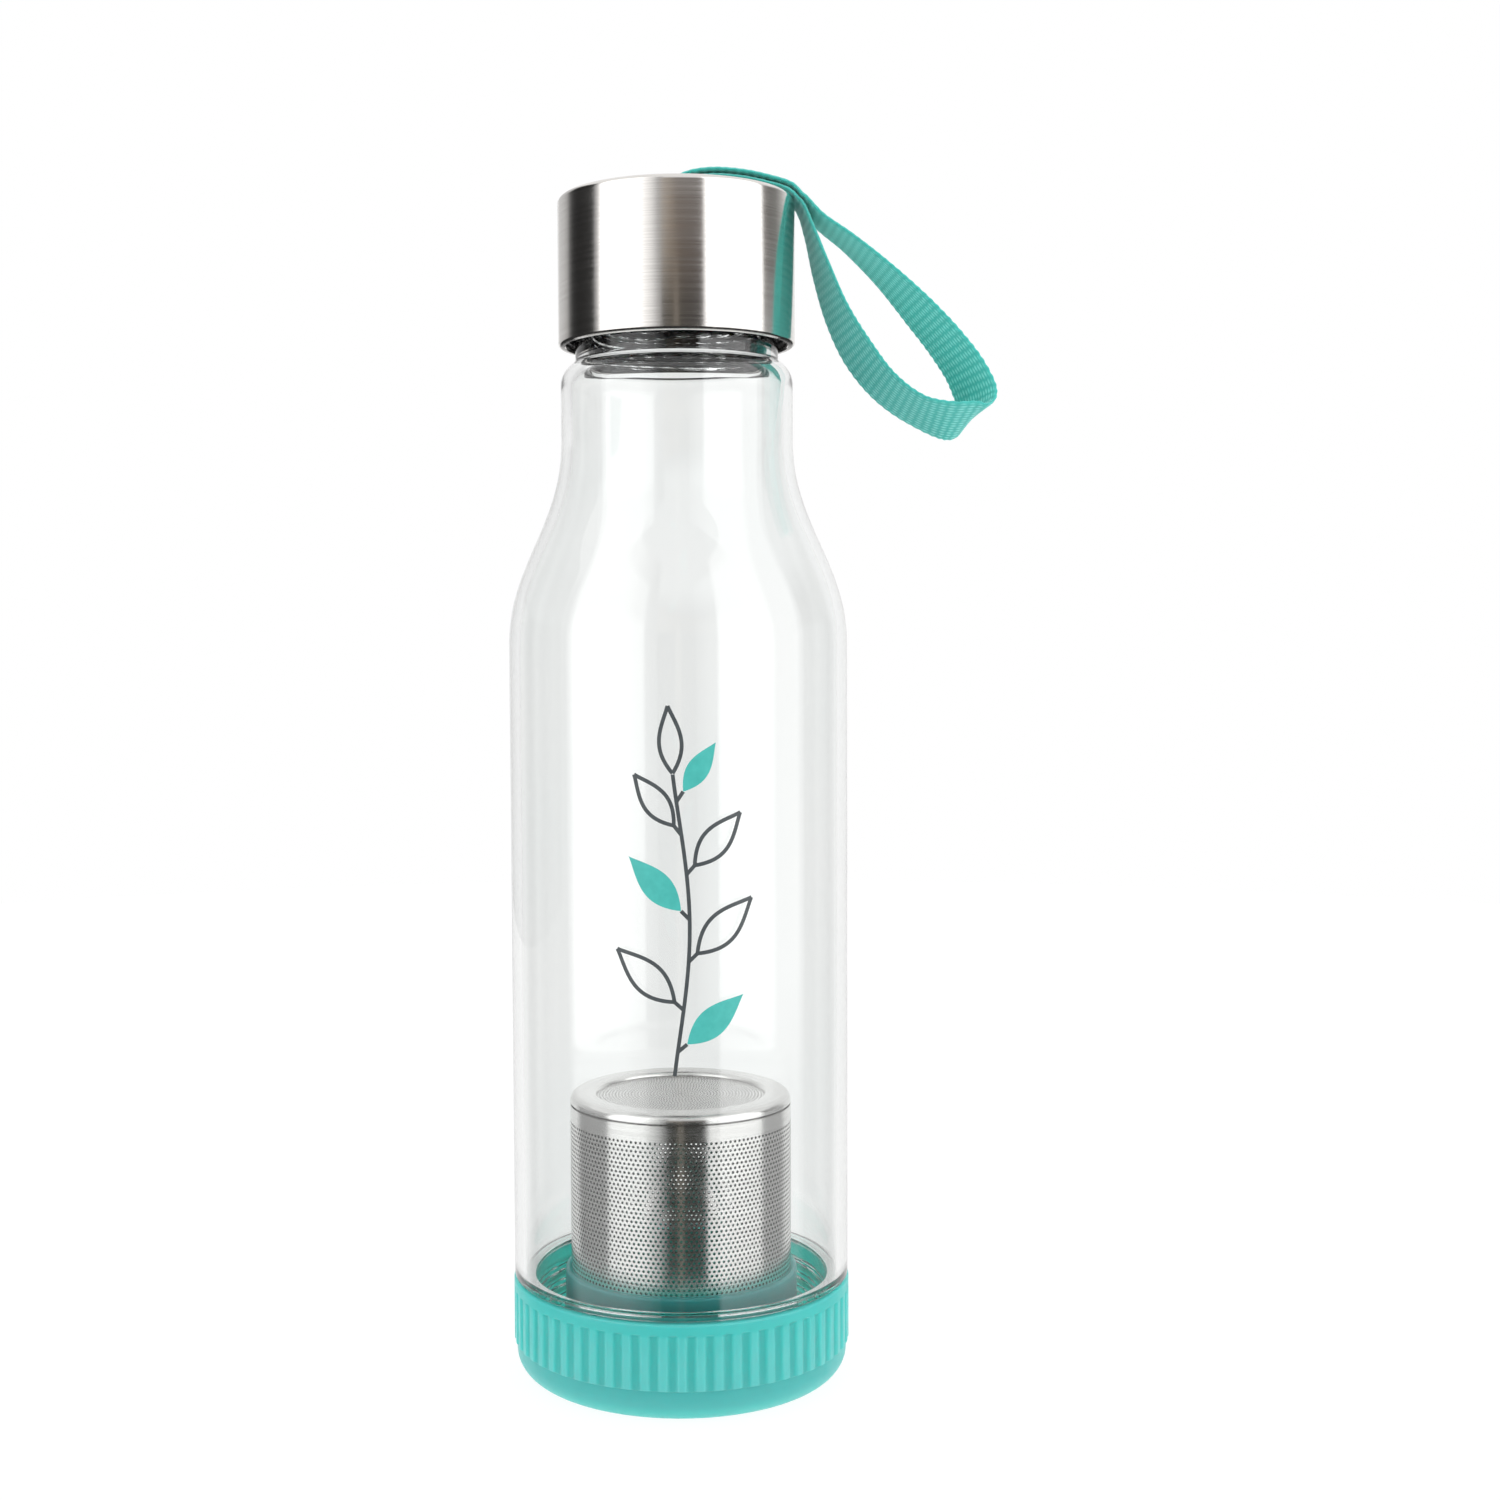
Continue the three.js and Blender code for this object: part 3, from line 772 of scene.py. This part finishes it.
def makePin(s):
    half, c = s["length"] / 2, s["chamfer"]
    profile = [(0, -half), (s["radius"] - c, -half), (s["radius"], -half + c),
               (s["radius"], half - c), (s["radius"] - c, half), (0, half)]
    piece = turned("strap_cross_pin", profile, s["steps"], finishes["capSteel"])
    piece.data.transform(Matrix.Translation((0, 0, s["height"] * mm)) @ Matrix.Rotation(math.pi / 2, 4, "X"))
    onBody(piece, "cap", "strap_pin")


makePin(pinSet)
print("seals, liner and pin turned")


# drawn steel cap with its slot

capSet = {
    "outerR": 22.6, "sheet": 0.6, "low": 197.8, "high": 225.6, "corner": 1.0, "lip": 0.8, "lipEdge": 0.15,
    "slotHalf": 1.4, "slotReach": 5.0, "slotDepth": 2, "slotSteps": 24,
    "steps": 240, "sharpDeg": 35,
}


# a block with round ends, as large as the slot
def slotCutter(s):
    half, steps = s["slotHalf"], s["slotSteps"]
    turns = [math.pi * i / steps for i in range(steps + 1)]
    outline = [(math.cos(turn), s["slotReach"] / half + math.sin(turn)) for turn in turns]
    outline += [(-x, -y) for x, y in outline]
    levels = (s["high"] - s["slotDepth"], s["high"] + s["slotDepth"])
    count = len(outline)
    lower, upper = range(count), range(count, 2 * count)
    faces = [tuple(reversed(lower)), tuple(upper), *bandFaces(lower, upper)]
    mesh = bpy.data.meshes.new("slot cutter")
    mesh.from_pydata([(x * half * mm, y * half * mm, z * mm) for z in levels for x, y in outline], [], faces)
    return placed("slot cutter", mesh)


def makeCap(s):
    sheet, corner, edge = s["sheet"], s["corner"], s["lipEdge"]
    inner = s["outerR"] - sheet
    lipInner = inner - s["lip"]
    profile = [
        (lipInner, s["low"] + edge),
        (lipInner + edge, s["low"]),
        *arcRows(inner, s["low"] + sheet, sheet, -90, 0, 7),
        *arcRows(s["outerR"] - corner, s["high"] - corner, corner, 0, 90, 10),
        (0, s["high"]),
        (0, s["high"] - sheet),
        *arcRows(inner - corner + sheet, s["high"] - corner, corner - sheet, 90, 0, 6),
        (inner, s["low"] + sheet),
        (lipInner, s["low"] + sheet),
    ]
    piece = turned("steel_cap", profile, s["steps"], finishes["capSteel"])
    cutter = slotCutter(s)
    cut = piece.modifiers.new("slot", "BOOLEAN")
    cut.operation = "DIFFERENCE"
    cut.object = cutter
    cut.solver = "EXACT"
    done = bpy.data.meshes.new_from_object(piece.evaluated_get(bpy.context.evaluated_depsgraph_get()))
    piece.modifiers.clear()
    piece.data = done
    bpy.data.objects.remove(cutter)
    smoothed(done, s["sharpDeg"])
    onBody(piece, "cap", "cap_shell")


makeCap(capSet)
print("cap drawn")


# leaf strainer: perforated tube, pressed end ring and sieve disc

strainerSet = {
    "radius": 21.5, "wall": 0.5, "low": 3.1, "top": 52.3,
    "holesLow": 20.4, "holesHigh": 49.4, "columns": 144, "rows": 35, "hole": 0.285,
    "rimLow": 52.6, "height": 54.4, "rimCorner": 1.5, "rimChamfer": 0.1, "rimSteps": 240,
    "spigotOuter": 20.7, "spigotInner": 20.2, "spigotLow": 49.4,
    "opening": 16.2, "edgeOverSieve": 0.03,  # the pressed edge of the opening dips to the sieve
    "dipFrom": 0.9, "dipPull": (0.5, 0.2), "dipRise": 0.45, "underEdge": (0.4, 0.8),
    "sieveR": 19.9, "sieveLow": 53.2, "sieveHigh": 53.6, "sievePitch": 0.62, "sieveHole": 0.14,
    "sieveTwist": 0.35, "sieveSteps": 180,
    "sharpDeg": 40,
}


# outer and inner sheet of staggered cells, each with a six-sided hole, joined by the walls of the holes
def perforatedTube(s):
    columns, rows = s["columns"], s["rows"]
    count = 2 * columns
    pitch = (s["holesHigh"] - s["holesLow"]) / rows
    levels = [s["low"], s["holesLow"]] + [s["holesLow"] + pitch * (i + 1) for i in range(rows)] + [s["top"]]
    corners = [math.radians(-150 + 60 * j) for j in range(6)]
    hole = [(s["hole"] * math.cos(a) / s["radius"], s["hole"] * math.sin(a)) for a in corners]
    verts, faces, sheets = [], [], []
    for radius, facing in ((s["radius"], 1), (s["radius"] - s["wall"], -1)):
        grid = [[addPolar(verts, radius, tau * k / count, z) for k in range(count)] for z in levels]
        holes = []

        def addBand(row, other):
            faces.extend(quad if facing > 0 else tuple(reversed(quad)) for quad in bandFaces(row, other))

        for i in range(len(levels) - 1):
            here, over = grid[i], grid[i + 1]
            if i in (0, len(levels) - 2):  # plain bands
                addBand(here, over)
                continue
            for c in range(columns):
                k = (2 * c + i % 2) % count
                m, n = (k + 1) % count, (k + 2) % count
                border = [here[k], here[m], here[n], over[n], over[m], over[k]]
                middle = tau * (k + 1) / count
                z = (levels[i] + levels[i + 1]) / 2
                ring = [addPolar(verts, radius, middle + turn, z + rise) for turn, rise in hole]
                addBand(border, ring)
                holes.append(ring)
        sheets.append((grid, holes))
    (gridOut, holesOut), (gridIn, holesIn) = sheets
    plain = len(faces)
    for ringOut, ringIn in zip(holesOut, holesIn):
        faces += bandFaces(ringOut, ringIn)
    # faces before this count are the hole walls that carry the painted shade
    holeShade = len(faces)
    faces += bandFaces(gridIn[0], gridOut[0]) + bandFaces(gridOut[-1], gridIn[-1])
    piece = meshObject("strainer_tube", verts, faces, finishes["strainerSteel"], s["sharpDeg"])
    paint(piece, "holeWall", [1.0 if plain <= i < holeShade else 0.0 for i in range(len(faces))], "FACE")
    return piece


# rings of fine four-sided holes inside a plain edge
def sieveDisc(s):
    verts, faces = [], []
    pitch, half, steps = s["sievePitch"], s["sieveHole"], s["sieveSteps"]
    ringCount = int(s["opening"] / pitch)

    def patch(inner, outer, fromAngle, toAngle, z):
        places = ((inner, fromAngle), (outer, fromAngle), (outer, toAngle), (inner, toAngle))
        return [addPolar(verts, radius, angle, z) for radius, angle in places]

    for ring in range(ringCount):
        cells = max(6, round(tau * (ring + 0.5)))
        middle = (ring + 0.5) * pitch
        reach = half / middle
        shift = ring * s["sieveTwist"]
        for c in range(cells):
            a0, a1 = tau * c / cells, tau * (c + 1) / cells
            am = (a0 + a1) / 2 + shift
            layers = []
            for z in (s["sieveHigh"], s["sieveLow"]):
                border = patch(ring * pitch, (ring + 1) * pitch, a0 + shift, a1 + shift, z)
                layers.append((border, patch(middle - half, middle + half, am - reach, am + reach, z)))
            (borderUp, holeUp), (borderDown, holeDown) = layers
            faces += bandFaces(borderUp, holeUp) + bandFaces(holeDown, borderDown)
            faces += bandFaces(holeUp, holeDown)
    edge, rim, low, high = ringCount * pitch, s["sieveR"], s["sieveLow"], s["sieveHigh"]
    rings = [[addPolar(verts, r, tau * k / steps, z) for k in range(steps)]
             for r, z in ((edge, high), (rim, high), (rim, low), (edge, low))]
    for a, b in zip(rings, rings[1:]):
        faces += bandFaces(b, a)
    return meshObject("strainer_sieve_disc", verts, faces, finishes["strainerSteel"], s["sharpDeg"])


def makeStrainer(s):
    onBody(perforatedTube(s), "strainer", "strainer_wall")
    corner, chamfer, height = s["rimCorner"], s["rimChamfer"], s["height"]
    opening, roof = s["opening"], height - s["wall"]
    edge = s["sieveHigh"] + s["edgeOverSieve"]
    pullOut, pullIn = s["dipPull"]
    underEdge, underRoof = s["underEdge"]
    profile = [
        (s["spigotInner"], s["spigotLow"]),
        (s["spigotOuter"], s["spigotLow"]),
        (s["spigotOuter"], s["rimLow"]),
        (s["radius"] - chamfer, s["rimLow"]),
        (s["radius"], s["rimLow"] + chamfer),
        *arcRows(s["radius"] - corner, height - corner, corner, 0, 90, 12),
        *bezierRows((opening + s["dipFrom"], height), (opening + pullOut, height),
                    (opening + pullIn, edge + s["dipRise"]), (opening, edge), 8),
        (opening + underEdge, edge),
        (opening + underRoof, roof),
        (s["spigotInner"], roof),
    ]
    ring = turned("strainer_rim", profile, s["rimSteps"], finishes["strainerSteel"])
    onBody(ring, "strainer", "strainer_end_ring")
    onBody(sieveDisc(s), "strainer", "strainer_sieve")


makeStrainer(strainerSet)
print("strainer perforated")


# screen print on the front of the bottle: a sprig in thin lines and filled leaves

printSet = {
    "radius": 32.5, "lift": 0.02, "thickness": 0.04, "line": 0.7, "across": 8,
    "stemLow": 64.0, "stemHigh": 118.0, "stemSteps": 60, "sway": 1.8, "swayTurns": 0.7, "swayLag": 0.6,
    "stalk": 2.2, "tipStalk": 0.2, "stalkSteps": 4,
    "leafSteps": 28, "leafPeak": 0.85, "leafTaper": 1.1,
    "leaves": [  # place on the stem, side, length, width, angle from upright, filled
        (0.08, 1, 13.5, 5.2, 50, True), (0.22, -1, 14.0, 5.4, 48, False), (0.38, 1, 14.0, 5.4, 46, False),
        (0.52, -1, 13.5, 5.2, 44, True), (0.67, 1, 12.5, 4.8, 42, False), (0.80, -1, 11.5, 4.4, 38, False),
        (0.91, 1, 10.5, 4.0, 34, True), (1.00, 0, 12.0, 4.0, -4, False)],
}


def stemPoint(s, t):
    aside = s["sway"] * math.sin(tau * s["swayTurns"] * t - s["swayLag"])
    return Vector((aside, s["stemLow"] + (s["stemHigh"] - s["stemLow"]) * t))


def leafOutline(s, root, turn, length, width):
    c, w = math.cos(turn), math.sin(turn)
    left, right = [], []
    for i in range(s["leafSteps"] + 1):
        t = i / s["leafSteps"]
        along = length * t
        swell = math.sin(math.pi * t ** s["leafPeak"]) ** s["leafTaper"] if 0 < t < 1 else 0.0
        for side, off in ((left, -width / 2 * swell), (right, width / 2 * swell)):
            side.append(Vector((root.x + along * w + off * c, root.y + along * c - off * w)))
    return left, right


def ribbon(points, width):
    strip = []
    for i, p in enumerate(points):
        along = (points[min(i + 1, len(points) - 1)] - points[max(i - 1, 0)]).normalized()
        off = Vector((-along.y, along.x)) * width / 2
        strip.append((p + off, p - off))
    return strip


# lays flat strips on the round wall and gives them the ink's thickness
def printedPiece(name, strips, s, material):
    shape = bmesh.new()
    top = s["radius"] + s["lift"] + s["thickness"]

    def onWall(p):
        angle = p.x / s["radius"] - math.pi / 2
        return shape.verts.new((top * math.cos(angle) * mm, top * math.sin(angle) * mm, p.y * mm))

    for strip in strips:
        rows = [[onWall(a.lerp(b, i / s["across"])) for i in range(s["across"] + 1)] for a, b in strip]
        for row, after in zip(rows, rows[1:]):
            for i in range(s["across"]):
                shape.faces.new((row[i + 1], row[i], after[i], after[i + 1]))
    bmesh.ops.remove_doubles(shape, verts=shape.verts, dist=1e-7)
    bmesh.ops.recalc_face_normals(shape, faces=shape.faces)
    for face in shape.faces:
        centre = face.calc_center_median()
        if face.normal.dot(Vector((centre.x, centre.y, 0))) < 0:
            face.normal_flip()
    bmesh.ops.solidify(shape, geom=list(shape.faces), thickness=s["thickness"] * mm)
    piece = placed(name, meshFrom(name, shape), material)
    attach(piece, "bottle")


def makePrint(s):
    count, parts = s["stemSteps"], s["stalkSteps"]
    stem = [stemPoint(s, i / count) for i in range(count + 1)]
    lines, fills = [ribbon(stem, s["line"])], []
    for place, side, length, width, leanDeg, filled in s["leaves"]:
        root = stemPoint(s, place)
        turn = math.radians(leanDeg) * (side if side else 1)
        stalk = Vector((math.sin(turn), math.cos(turn))) * (s["stalk"] if side else s["tipStalk"])
        left, right = leafOutline(s, root + stalk, turn, length, width)
        if side:
            lines.append(ribbon([root.lerp(root + stalk, i / parts) for i in range(parts + 1)], s["line"]))
        if filled:
            fills.append(list(zip(left, right)))
        else:
            lines.append(ribbon(left, s["line"]))
            lines.append(ribbon(right, s["line"]))
    printedPiece("print_lines", lines, s, finishes["slateInk"])
    printedPiece("print_leaves", fills, s, finishes["leafInk"])


makePrint(printSet)
print("sprig printed")


# studio, in metres: white floor and surround, two soft boxes, light and dark walls for the steel to mirror

stageSet = {
    "floorR": 0.8, "nearFloorR": 0.045, "floorSteps": 96, "floorGlow": 0.92,
    "floorDark": (0.075, 0.075, 0.075), "floorPale": (0.085, 0.085, 0.085),
    "surroundR": 3.2, "white": 1.0,
    "walls": [  # the upper room that the cap mirrors, by azimuth in degrees with the camera at 0
        (-180, 0.95), (-150, 0.93), (-138, 0.80), (-120, 0.60), (-84, 0.50), (-40, (0.50, 0.46, 0.41)),
        (-14, (0.50, 0.46, 0.41)), (-6, (0.36, 0.30, 0.24)), (1, (0.18, 0.14, 0.11)),
        (25, (0.145, 0.12, 0.11)), (90, (0.22, 0.20, 0.18)), (103, (0.165, 0.16, 0.155)),
        (113, (0.22, 0.22, 0.21)), (124, (0.50, 0.50, 0.49)), (134, 0.90), (142, 0.95), (180, 0.95)],
    "lowWalls": [  # the lower room
        (-180, 0.95), (-134, 0.95), (-124, 0.30), (-84, 0.38), (-36, 0.40), (-28, 0.05),
        (-3, (0.05, 0.05, 0.045)), (-1, (0.28, 0.25, 0.21)), (1, (0.28, 0.25, 0.21)),
        (3, (0.05, 0.05, 0.045)), (26, 0.05), (36, 0.40), (92, 0.44), (126, 0.42), (136, 0.95), (180, 0.95)],
    "ceiling": 1.0,
    "upperFrom": (0.11, 0.145), "ceilingFrom": (0.27, 0.55),  # sines of the elevation at which each sets in
    "boxes": [  # azimuth from the camera, width, brightness from left to right
        {"azimuth": -46.75, "width": 1.055, "across": [
            (0.0, 0.3), (0.05, 1.0), (0.62, 1.0), (0.75, 0.66), (0.84, 0.52), (0.94, 0.27), (1.0, 0.24)]},
        {"azimuth": 58.5, "width": 1.045, "across": [(0.0, 0.55), (0.05, 1.0), (0.95, 1.0), (1.0, 0.6)]}],
    "box": {"away": 0.82, "low": -0.6, "high": 1.1, "glow": 1.9,
            "upward": [(0.0, 0.63), (0.235, 0.63), (0.32, 1.0), (1.0, 1.0)]},
    "darkSheet": {
        "azimuth": -122, "width": 1.4, "away": 0.9, "low": -0.05, "high": 0.9, "glow": 1.0,
        "across": [(0.0, 0.70), (0.30, 0.62), (0.42, 0.48), (0.49, 0.12), (0.56, 0.035), (0.65, 0.02),
                   (1.0, 0.03)],
        "upward": [(0.0, 1.0), (1.0, 1.0)]},
    "darkRing": {"inner": 0.0235, "outer": 0.06, "height": 0.19, "glow": 0.03},
}


def glowMaterial(name, strength):
    material = bpy.data.materials.new(name)
    material.use_nodes = True
    tree = material.node_tree
    tree.nodes.clear()
    glow = tree.nodes.new("ShaderNodeEmission")
    glow.inputs["Color"].default_value = (1, 1, 1, 1)
    glow.inputs["Strength"].default_value = strength
    output = tree.nodes.new("ShaderNodeOutputMaterial")
    tree.links.new(glow.outputs[0], output.inputs["Surface"])
    return material


# lets a sheet be seen from its front only
def clearBehind(material):
    tree = material.node_tree
    mix = tree.nodes.new("ShaderNodeMixShader")
    tree.links.new(tree.nodes.new("ShaderNodeNewGeometry").outputs["Backfacing"], mix.inputs[0])
    tree.links.new(tree.nodes["Emission"].outputs[0], mix.inputs[1])
    tree.links.new(tree.nodes.new("ShaderNodeBsdfTransparent").outputs[0], mix.inputs[2])
    tree.links.new(mix.outputs[0], tree.nodes["Material Output"].inputs["Surface"])


# a glowing sheet that faces the bottle, its brightness set from left to right and upward
def softBox(name, box):
    x, low, high = box["width"] / 2, box["low"], box["high"]
    material = glowMaterial(name, box["glow"])
    tree = material.node_tree
    parts = splitXyz(tree, tree.nodes.new("ShaderNodeTexCoord").outputs["Object"])
    across = colourRamp(tree, mapRange(tree, parts[0], -x, x), box["across"])
    upward = colourRamp(tree, mapRange(tree, parts[2], low, high), box["upward"])
    shade = mixColours(tree, 1, across, upward, "MULTIPLY")
    tree.links.new(shade, tree.nodes["Emission"].inputs["Color"])
    mesh = bpy.data.meshes.new(name)
    mesh.from_pydata([(-x, 0, low), (x, 0, low), (x, 0, high), (-x, 0, high)], [], [(0, 1, 2, 3)])
    sheet = placed(name, mesh, material)
    angle = math.radians(box["azimuth"])
    place = Vector((math.sin(angle), -math.cos(angle), 0)) * box["away"]
    sheet.matrix_world = Matrix.Translation(place) @ Matrix.Rotation(angle, 4, "Z")
    sheet.visible_camera = False
    return sheet


# a room with light walls behind the bottle, dim ones beside it, dark ones on the camera's side
# and a bright ceiling
def roomWorld(s):
    world = bpy.data.worlds.new("studio room")
    world.use_nodes = True
    tree = world.node_tree
    outward = tree.nodes.new("ShaderNodeTexCoord").outputs["Generated"]
    rise = splitXyz(tree, outward)[2]
    turn = tree.nodes.new("ShaderNodeMapping")
    turn.inputs["Rotation"].default_value = (0, 0, math.pi / 2)
    tree.links.new(outward, turn.inputs["Vector"])
    azimuth = tree.nodes.new("ShaderNodeTexGradient")
    azimuth.gradient_type = "RADIAL"
    tree.links.new(turn.outputs["Vector"], azimuth.inputs["Vector"])

    def wallRing(stops):
        places = [(0.5 + degrees / 360, colour) for degrees, colour in stops]
        return colourRamp(tree, azimuth.outputs["Fac"], places)

    def rising(span, full):
        return colourRamp(tree, mapRange(tree, rise, *span), [(0.0, 0.0), (1.0, full)])

    walls = mixColours(tree, rising(s["upperFrom"], 1.0), wallRing(s["lowWalls"]), wallRing(s["walls"]))
    room = mixColours(tree, 1, walls, rising(s["ceilingFrom"], s["ceiling"]), "LIGHTEN")
    tree.links.new(room, tree.nodes["Background"].inputs["Color"])
    return world


def floorRing(name, inner, outer, count, material):
    rim = [(math.cos(tau * i / count), math.sin(tau * i / count)) for i in range(count)]
    verts = [(x * outer, y * outer, 0) for x, y in rim]
    faces = [tuple(range(count))]
    if inner:
        verts += [(x * inner, y * inner, 0) for x, y in rim]
        faces = bandFaces(range(count), range(count, 2 * count))
    mesh = bpy.data.meshes.new(name)
    mesh.from_pydata(verts, [], faces)
    return placed(name, mesh, material)


def makeStage(s):
    steps = s["floorSteps"]
    floor = Finish("studio floor", **{
        "Roughness": 0.9, "Emission Color": (1, 1, 1, 1), "Emission Strength": s["floorGlow"]})
    floor.mottle(floor.noise(scale=6, detail=3), s["floorDark"], s["floorPale"])
    near = floorRing("near_floor", 0, s["nearFloorR"], steps, floor.material)
    far = floorRing("far_floor", s["nearFloorR"], s["floorR"], steps, floor.material)
    shape = bmesh.new()
    bmesh.ops.create_icosphere(shape, subdivisions=4, radius=s["surroundR"])
    white = glowMaterial("white surround", s["white"])
    surround = placed("white_surround", meshFrom("white surround", shape), white)
    near.visible_transmission = False
    far.visible_glossy = False
    far.visible_transmission = False
    surround.visible_diffuse = False
    surround.visible_glossy = False
    surround.visible_transmission = False
    surround.visible_shadow = False
    scene.world = roomWorld(s)
    for i, box in enumerate(s["boxes"]):
        softBox(f"soft_box_{i + 1}", {**s["box"], **box})
    # seen in mirrors only: a dark sheet for the left of the cap, and a dark ring below the cap's lower edge
    dark = softBox("dark_sheet", s["darkSheet"])
    under = s["darkRing"]
    grey = glowMaterial("dark ring", under["glow"])
    clearBehind(grey)
    ring = floorRing("dark_ring", under["inner"], under["outer"], steps, grey)
    ring.location.z = under["height"]
    ring.visible_camera = False
    for thing in (dark, ring):
        thing.visible_diffuse = False
        thing.visible_transmission = False
        thing.visible_shadow = False


makeStage(stageSet)
scene.view_settings.view_transform = "Standard"
print("studio lit")
